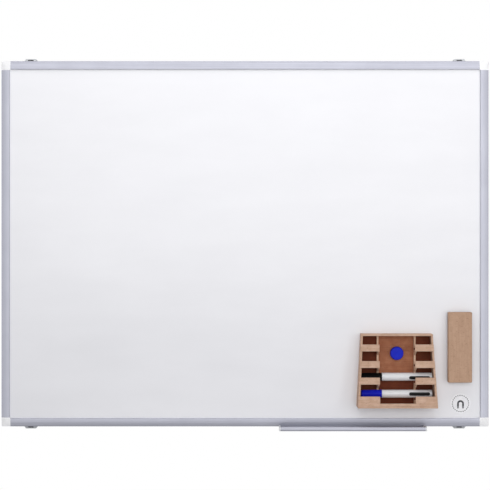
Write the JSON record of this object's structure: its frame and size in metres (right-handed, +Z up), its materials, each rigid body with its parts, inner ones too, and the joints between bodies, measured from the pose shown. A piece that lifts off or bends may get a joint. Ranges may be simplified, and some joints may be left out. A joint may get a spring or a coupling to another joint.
{
  "type": "magnetic whiteboard",
  "caption": "Wall-hung magnetic whiteboard: framed steel-faced panel on sliding wall clips, with a sliding pen tray, marker rack, capped markers, eraser and round magnet.",
  "frame": {"origin": "on the wall plane, in the middle of the four wall screw holes, which is the middle of the board", "axes": "+X to the right along the board as seen from the front, +Y into the wall, +Z up"},
  "size_m": [1, 0.0716, 0.7603],
  "materials": {
    "white_enamel": "gloss enamel on sheet steel",
    "core_board": "pressed fibre core",
    "zinc_sheet": "zinc-coated sheet",
    "anodised_aluminium": "satin anodised extrusion",
    "corner_plastic": "fine-grained moulding",
    "zinc_steel": "zinc-plated pressing",
    "black_plastic": "moulded glide",
    "tray_cap_plastic": "fine-grained moulding",
    "fibreboard": "raw fibreboard",
    "marker_white": "gloss moulding",
    "marker_black": "gloss moulding",
    "marker_blue": "gloss moulding",
    "ink_fibre": "bonded fibre",
    "magnet_blue": "gloss moulding",
    "ferrite": "sintered",
    "felt": "pressed felt"
  },
  "bodies": {
    "board": {"writing_sheet": "white_enamel", "core_panel": "core_board", "backing_sheet": "zinc_sheet", "rail_top": "anodised_aluminium", "rail_bottom": "anodised_aluminium", "rail_left": "anodised_aluminium", "rail_right": "anodised_aluminium", "corner_cap_top_left": "corner_plastic", "corner_cap_top_right": "corner_plastic", "corner_cap_bottom_left": "corner_plastic", "corner_cap_bottom_right": "corner_plastic", "corner_keys": "zinc_steel", "corner_screws": "zinc_steel"},
    "pen_tray": {"pen_tray": "anodised_aluminium", "tray_end_cap_left": "tray_cap_plastic", "tray_end_cap_right": "tray_cap_plastic"},
    "clip_top_left": {"clip_bracket_top_left": "zinc_steel", "clip_glide_top_left": "black_plastic"},
    "clip_top_right": {"clip_bracket_top_right": "zinc_steel", "clip_glide_top_right": "black_plastic"},
    "clip_bottom_left": {"clip_bracket_bottom_left": "zinc_steel", "clip_glide_bottom_left": "black_plastic"},
    "clip_bottom_right": {"clip_bracket_bottom_right": "zinc_steel", "clip_glide_bottom_right": "black_plastic"},
    "organiser": {"organiser_back": "fibreboard", "organiser_side_left": "fibreboard", "organiser_side_right": "fibreboard", "organiser_top": "fibreboard", "organiser_bottom": "fibreboard", "organiser_front": "fibreboard", "organiser_magnets": "ferrite", "organiser_divider_left": "fibreboard", "organiser_divider_right": "fibreboard", "organiser_slat_1_left": "fibreboard", "organiser_slat_1_right": "fibreboard", "organiser_slat_2_left": "fibreboard", "organiser_slat_2_right": "fibreboard", "organiser_slat_3_left": "fibreboard", "organiser_slat_3_right": "fibreboard", "organiser_ledges_1": "fibreboard", "organiser_ledges_2": "fibreboard", "organiser_ledges_3": "fibreboard", "organiser_ledges_4": "fibreboard"},
    "marker_black": {"marker_black_barrel": "marker_white", "marker_black_nib": "ink_fibre", "marker_black_ink_core": "ink_fibre", "marker_black_end_plug": "marker_white"},
    "marker_black_cap": {"marker_black_cap": "marker_black"},
    "marker_blue": {"marker_blue_barrel": "marker_white", "marker_blue_nib": "ink_fibre", "marker_blue_ink_core": "ink_fibre", "marker_blue_end_plug": "marker_white"},
    "marker_blue_cap": {"marker_blue_cap": "marker_blue"},
    "magnet": {"magnet_shell": "magnet_blue", "magnet_disc": "ferrite"},
    "eraser": {"eraser_block": "fibreboard", "eraser_felt": "felt", "eraser_magnets": "ferrite"}
  },
  "joints": [
    {"name": "tray_slide", "type": "slide", "parent": "board", "child": "pen_tray", "axis": [1, 0, 0], "range_m": [-0.41, 0.03]},
    {"name": "clip_top_left_slide", "type": "slide", "parent": "board", "child": "clip_top_left", "axis": [1, 0, 0], "range_m": [-0.025, 0.38]},
    {"name": "clip_top_right_slide", "type": "slide", "parent": "board", "child": "clip_top_right", "axis": [1, 0, 0], "range_m": [-0.38, 0.025]},
    {"name": "clip_bottom_left_slide", "type": "slide", "parent": "board", "child": "clip_bottom_left", "axis": [1, 0, 0], "range_m": [-0.025, 0.06]},
    {"name": "clip_bottom_right_slide", "type": "slide", "parent": "board", "child": "clip_bottom_right", "axis": [1, 0, 0], "range_m": [-0.015, 0.025]},
    {"name": "organiser_pull", "type": "slide", "parent": "board", "child": "organiser", "axis": [0, -1, 0], "range_m": [0, 0.08]},
    {"name": "eraser_pull", "type": "slide", "parent": "board", "child": "eraser", "axis": [0, -1, 0], "range_m": [0, 0.08]},
    {"name": "magnet_pull", "type": "slide", "parent": "organiser", "child": "magnet", "axis": [0, -1, 0], "range_m": [0, 0.06]},
    {"name": "marker_black_pull", "type": "slide", "parent": "organiser", "child": "marker_black", "axis": [0, -0.9159, 0.4013], "range_m": [0, 0.12]},
    {"name": "marker_black_cap_twist", "type": "hinge", "parent": "marker_black", "child": "marker_black_cap", "pos_m": [0.237, -0.03615, -0.2716], "axis": [1, 0, 0], "continuous": true},
    {"name": "marker_blue_pull", "type": "slide", "parent": "organiser", "child": "marker_blue", "axis": [0, -0.9531, 0.3027], "range_m": [0, 0.12]},
    {"name": "marker_blue_cap_twist", "type": "hinge", "parent": "marker_blue", "child": "marker_blue_cap", "pos_m": [0.237, -0.03615, -0.30637], "axis": [1, 0, 0], "continuous": true}
  ]
}
